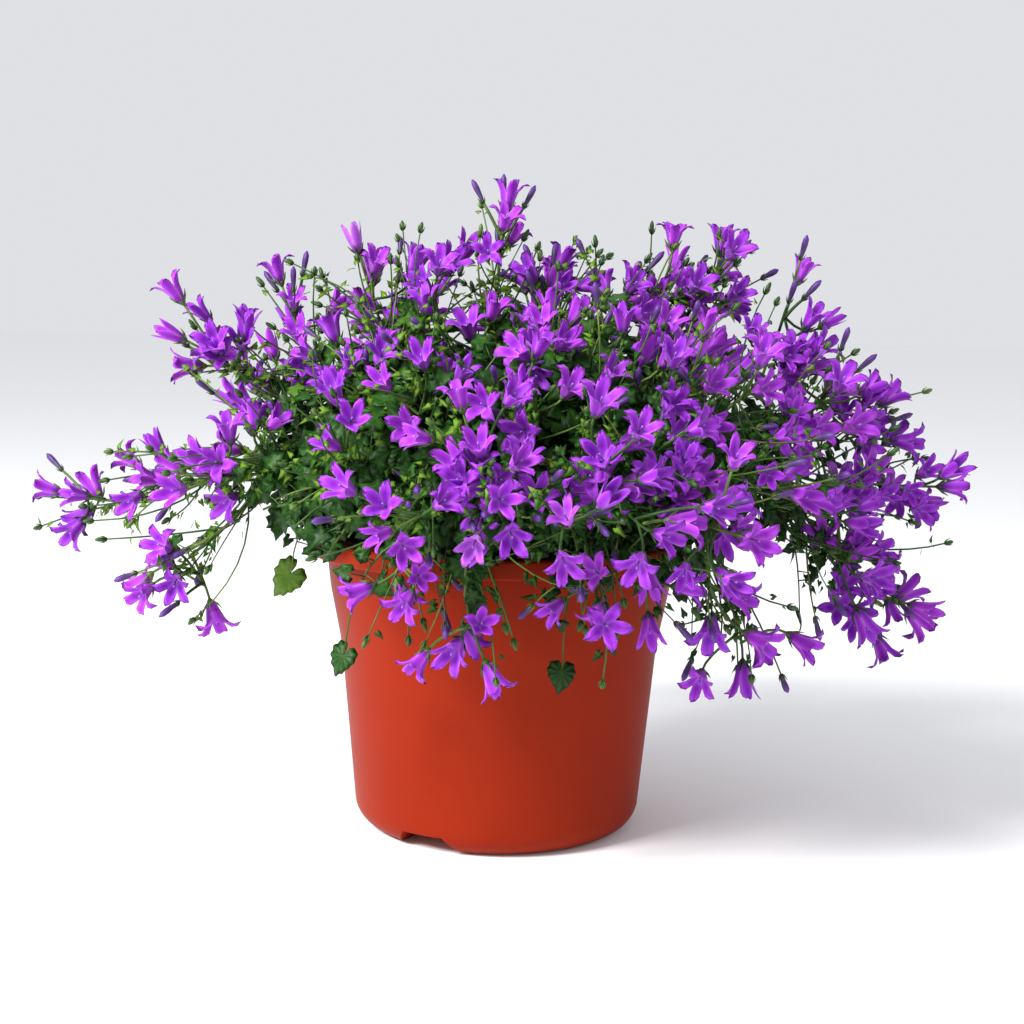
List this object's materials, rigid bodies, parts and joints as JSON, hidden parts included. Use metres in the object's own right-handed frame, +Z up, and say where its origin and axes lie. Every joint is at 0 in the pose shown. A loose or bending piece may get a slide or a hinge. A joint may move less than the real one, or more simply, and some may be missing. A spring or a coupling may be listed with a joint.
{
  "type": "potted bellflower",
  "caption": "Low mound of bellflower shoots covered with violet bells, growing over the rim of a round terracotta-coloured plastic pot of soil.",
  "frame": {"origin": "on the floor under the middle of the plant's and the pot's bounding box, which is the pot's own axis", "axes": "+Z up along the pot's axis, +X along the mound's longer side, to the right as the front is seen, and +Y to the back"},
  "size_m": [0.3232, 0.2621, 0.2213],
  "materials": {
    "pot_plastic": "satin moulded polypropylene, terracotta colour",
    "soil": "rough peat-based potting mix",
    "leaf_green": "semi-matt leaves and thin stems",
    "petal_violet": "soft translucent petals with a darker rib"
  },
  "bodies": {
    "root": {"pot": "pot_plastic", "potting_soil": "soil", "leafy_shoot_right": "leaf_green", "leafy_shoot_back_right": "leaf_green", "leafy_shoot_back_left": "leaf_green", "leafy_shoot_left": "leaf_green", "leafy_shoot_front_left": "leaf_green", "leafy_shoot_front_right": "leaf_green", "flower_spray_01": "petal_violet", "flower_spray_02": "petal_violet", "flower_spray_03": "petal_violet", "flower_spray_04": "petal_violet", "flower_spray_05": "petal_violet", "flower_spray_06": "petal_violet", "flower_spray_07": "petal_violet", "flower_spray_08": "petal_violet", "flower_spray_09": "petal_violet", "flower_spray_10": "petal_violet", "flower_spray_11": "petal_violet", "flower_spray_12": "petal_violet", "flower_spray_13": "petal_violet", "flower_spray_14": "petal_violet", "flower_spray_15": "petal_violet", "flower_spray_16": "petal_violet", "flower_spray_17": "petal_violet", "flower_spray_18": "petal_violet", "flower_spray_19": "petal_violet", "flower_spray_20": "petal_violet", "flower_spray_21": "petal_violet", "flower_spray_22": "petal_violet", "flower_spray_23": "petal_violet", "flower_spray_24": "petal_violet", "flower_spray_25": "petal_violet", "flower_spray_26": "petal_violet", "flower_spray_27": "petal_violet", "flower_spray_28": "petal_violet", "flower_spray_29": "petal_violet", "flower_spray_30": "petal_violet", "flower_spray_31": "petal_violet", "flower_spray_32": "petal_violet", "flower_spray_33": "petal_violet", "flower_spray_34": "petal_violet", "flower_spray_35": "petal_violet", "flower_spray_36": "petal_violet", "flower_spray_37": "petal_violet", "flower_spray_38": "petal_violet", "flower_spray_39": "petal_violet", "flower_spray_40": "petal_violet", "flower_spray_41": "petal_violet", "flower_spray_42": "petal_violet", "flower_spray_43": "petal_violet", "flower_spray_44": "petal_violet", "flower_spray_45": "petal_violet", "flower_spray_46": "petal_violet", "flower_spray_47": "petal_violet", "flower_spray_48": "petal_violet", "flower_spray_49": "petal_violet", "flower_spray_50": "petal_violet", "flower_spray_51": "petal_violet", "flower_spray_52": "petal_violet"}
  },
  "joints": []
}
